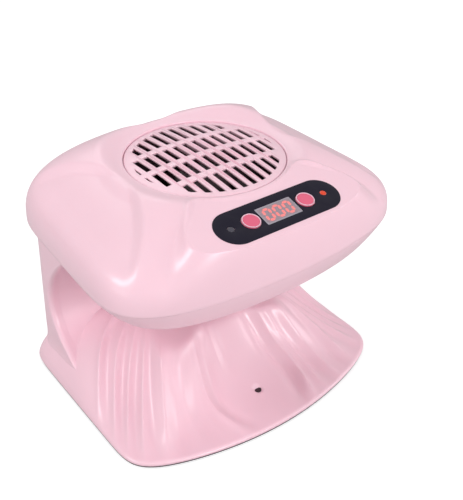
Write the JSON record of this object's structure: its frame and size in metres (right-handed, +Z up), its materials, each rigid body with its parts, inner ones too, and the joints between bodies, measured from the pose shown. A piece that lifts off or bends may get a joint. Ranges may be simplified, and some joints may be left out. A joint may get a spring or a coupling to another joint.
{
  "type": "nail polish fan dryer",
  "caption": "Pillow-shaped pink head with a slotted air inlet, a dark control strip and a fan, on a hollow column over a draped hand rest.",
  "frame": {"origin": "centre of the footprint of the whole part, on the surface it stands on", "axes": "+Z up, -Y towards the user (the front), +X to the right when the front is at the bottom of a plan"},
  "size_m": [0.185, 0.155, 0.145],
  "materials": {
    "pink_shell": "glossy pink moulded plastic",
    "pink_matt": "pink plastic, satin",
    "panel_black": "dark glossy overlay",
    "window_smoke": "smoked clear window",
    "display_case": "grey display body",
    "digit_red": "lit red bars",
    "button_pink": "deep pink button",
    "led_grey": "unlit indicator",
    "led_red": "lit red indicator",
    "board_green": "printed board",
    "part_black": "black moulded plastic",
    "steel": "plated steel",
    "brass": "brass",
    "mica": "mica sheet",
    "rubber_grey": "soft rubber",
    "plate_dark": "dark plastic base plate",
    "wire_cover": "sleeved wires"
  },
  "bodies": {
    "dryer": {"head_top_shell": "pink_shell", "head_lower_shell": "pink_shell", "base_shell": "pink_shell", "rear_cover": "pink_matt", "bottom_plate": "plate_dark", "inlet_grille": "pink_shell", "outlet_grille": "pink_matt", "control_panel": "panel_black", "display_window": "window_smoke", "display_module": "display_case", "display_digits": "digit_red", "indicator_led_left": "led_grey", "indicator_led_right": "led_red", "control_board": "board_green", "tact_switches": "part_black", "board_screws": "steel", "fan_frame": "part_black", "fan_motor": "brass", "fan_bearings": "steel", "heater_duct": "part_black", "heater_frame": "mica", "heater_coils": "steel", "thermal_cutout": "steel", "rubber_feet": "rubber_grey", "sensor_board": "board_green", "sensor_window": "part_black", "hand_sensor": "part_black", "power_inlet": "part_black", "inlet_pins": "brass", "power_board": "board_green", "power_board_parts": "part_black", "base_screws": "steel", "head_screws": "steel", "column_screws": "steel", "rear_cover_screws": "steel", "power_board_screws": "steel", "fan_screws": "steel", "wiring_loom": "wire_cover"},
    "fan": {"fan_rotor": "part_black", "fan_shaft": "steel"},
    "time_key": {"time_button": "button_pink"},
    "mode_key": {"mode_button": "button_pink"}
  },
  "joints": [
    {"name": "fan_spin", "type": "hinge", "parent": "dryer", "child": "fan", "pos_m": [0, 0.0004, 0.1163], "axis": [0, 0, 1], "continuous": true},
    {"name": "time_button_press", "type": "slide", "parent": "dryer", "child": "time_key", "axis": [0, 0.2402, -0.9707], "range_m": [0, 0.0006], "stiffness_N_per_m": 300},
    {"name": "mode_button_press", "type": "slide", "parent": "dryer", "child": "mode_key", "axis": [0, 0.2402, -0.9707], "range_m": [0, 0.0006], "stiffness_N_per_m": 300}
  ]
}
